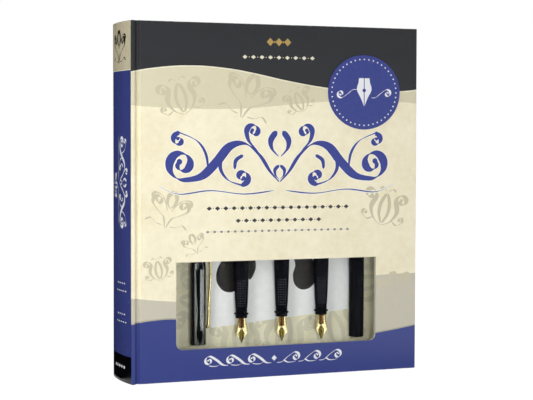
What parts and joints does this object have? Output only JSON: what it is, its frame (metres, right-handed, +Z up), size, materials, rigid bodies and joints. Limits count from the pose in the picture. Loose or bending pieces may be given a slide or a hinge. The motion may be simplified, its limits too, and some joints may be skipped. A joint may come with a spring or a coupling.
{
  "type": "calligraphy kit",
  "caption": "Book-style gift box on its bottom edge: windowed front cover opening on a two-fold groove, card platform with pen cap, barrel and nib units under a blister, book, pad and ink.",
  "frame": {"origin": "middle of the case's footprint, on the surface that it stands on", "axes": "front cover faces -Y, spine towards -X, +Z up"},
  "size_m": [0.246, 0.0504, 0.279],
  "materials": {
    "case_board": "printed paper glued over greyboard",
    "case_wrap": "printed paper wrap, matt laminated",
    "clear_sheet": "clear polyester sheet",
    "lining_paper": "uncoated lining paper",
    "label_paper": "printed label, satin",
    "tray_board": "paper-wrapped greyboard",
    "printed_card": "coated printed card",
    "gloss_black": "polished injection-moulded plastic",
    "matt_black": "fine-sparked injection-moulded plastic",
    "gold_plate": "gold-coloured plating, polished",
    "book_cover_card": "printed cover paper",
    "white_paper": "uncoated writing paper",
    "staple_wire": "drawn wire",
    "ink_plastic": "blown plastic with dark ink inside"
  },
  "bodies": {
    "case": {"spine": "case_board", "back_cover": "case_board", "back_joint": "case_wrap", "tray_floor": "tray_board", "tray_wall_bottom": "tray_board", "tray_wall_top": "tray_board", "tray_wall_spine": "tray_board", "tray_wall_fore": "tray_board", "insert_card": "printed_card", "pen_blister": "clear_sheet", "pen_cap": "gloss_black", "cap_finial": "gloss_black", "cap_liner": "matt_black", "cap_clip": "gold_plate", "pen_barrel": "matt_black", "grip_section_1": "matt_black", "grip_section_2": "matt_black", "grip_section_3": "matt_black", "nib_1": "gold_plate", "nib_2": "gold_plate", "nib_3": "gold_plate", "feed_1": "gloss_black", "feed_2": "gloss_black", "feed_3": "gloss_black", "book_cover": "book_cover_card", "book_pages": "white_paper", "lower_staple": "staple_wire", "upper_staple": "staple_wire", "practice_sheets": "white_paper", "pad_backing": "tray_board", "cartridge_carton": "printed_card", "ink_cartridge_1": "ink_plastic", "ink_cartridge_2": "ink_plastic", "ink_cartridge_3": "ink_plastic", "ink_cartridge_4": "ink_plastic", "ink_cartridge_5": "ink_plastic"},
    "joint_strip": {"front_joint": "case_wrap"},
    "cover": {"front_cover": "case_board", "window_film": "clear_sheet", "front_lining": "lining_paper", "round_label": "label_paper"}
  },
  "joints": [
    {"name": "spine_side_fold", "type": "hinge", "parent": "case", "child": "joint_strip", "pos_m": [-0.11755, -0.0235, 0.1395], "axis": [0, 0, -1], "range_deg": [0, 90]},
    {"name": "cover_side_fold", "type": "hinge", "parent": "joint_strip", "child": "cover", "pos_m": [-0.11405, -0.0235, 0.1395], "axis": [0, 0, -1], "range_deg": [0, 90]}
  ]
}
